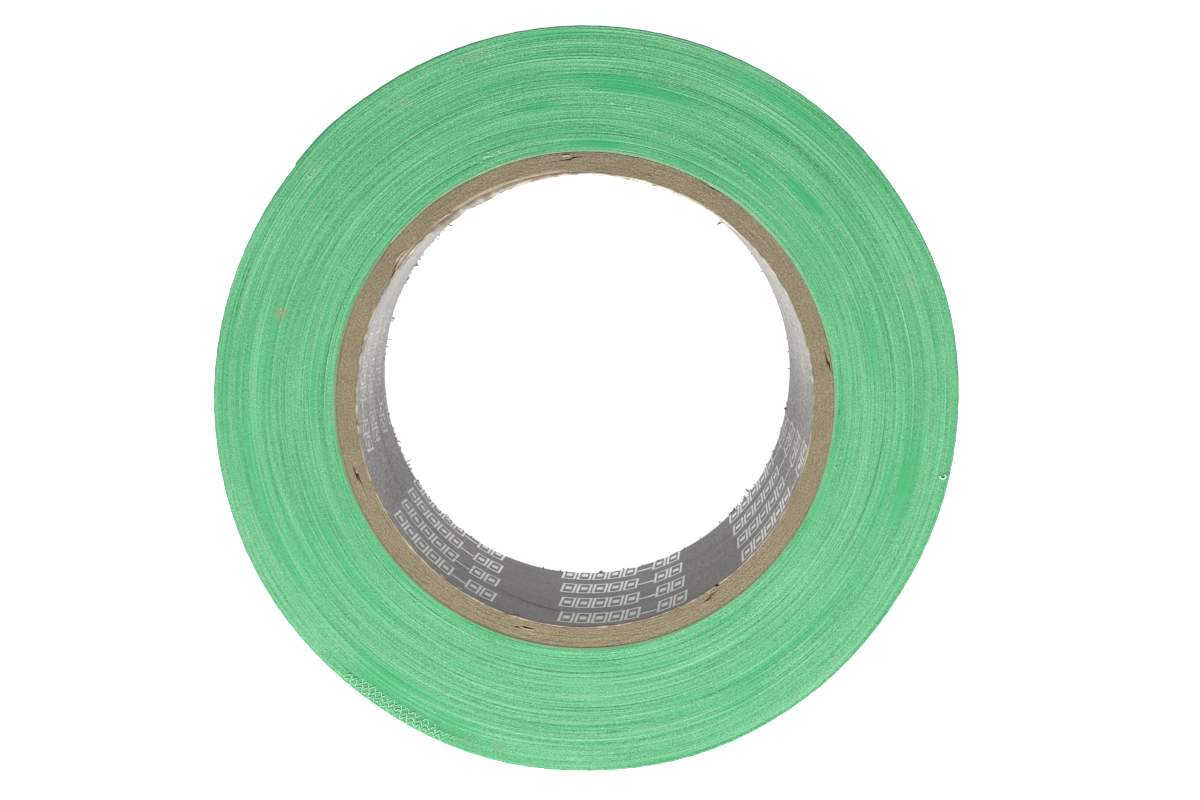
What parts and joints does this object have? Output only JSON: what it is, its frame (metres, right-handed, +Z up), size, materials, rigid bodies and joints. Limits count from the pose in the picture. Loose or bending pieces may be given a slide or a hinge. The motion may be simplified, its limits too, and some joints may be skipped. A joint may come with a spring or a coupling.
{
  "type": "masking tape roll",
  "caption": "Roll of green cloth-backed masking tape wound on a spiral paperboard core with a through bore; its free outer end peels off.",
  "frame": {"origin": "middle of the roll's lower flat face, on the axis of the bore", "axes": "+Z up along the roll's axis, out of the face that the roll doesn't lie on; the tape's cut end is at 140.5 degrees anticlockwise from +X"},
  "size_m": [0.1248, 0.1249, 0.05],
  "materials": {
    "liner_paper": "satin",
    "core_board": "matte",
    "wrap_paper": "matte",
    "wound_tape": "matte",
    "tape_film": "satin",
    "tape_cloth": "satin",
    "tape_adhesive": "satin"
  },
  "bodies": {
    "roll": {"core_liner": "liner_paper", "core_ply_1": "core_board", "core_ply_2": "core_board", "core_ply_3": "core_board", "core_ply_4": "core_board", "core_ply_5": "core_board", "core_ply_6": "core_board", "core_outer_wrap": "wrap_paper", "tape_first_turn": "wound_tape", "tape_pack": "wound_tape", "last_turn_film": "tape_film", "last_turn_cloth": "tape_cloth", "last_turn_adhesive": "tape_adhesive"},
    "tape_end": {"tape_end_film": "tape_film", "tape_end_cloth": "tape_cloth", "tape_end_adhesive": "tape_adhesive"}
  },
  "joints": [
    {"name": "tape_end_peel", "type": "hinge", "parent": "roll", "child": "tape_end", "pos_m": [-0.02192, 0.05862, 0.025], "axis": [0, 0, -1], "range_deg": [0, 150]}
  ]
}
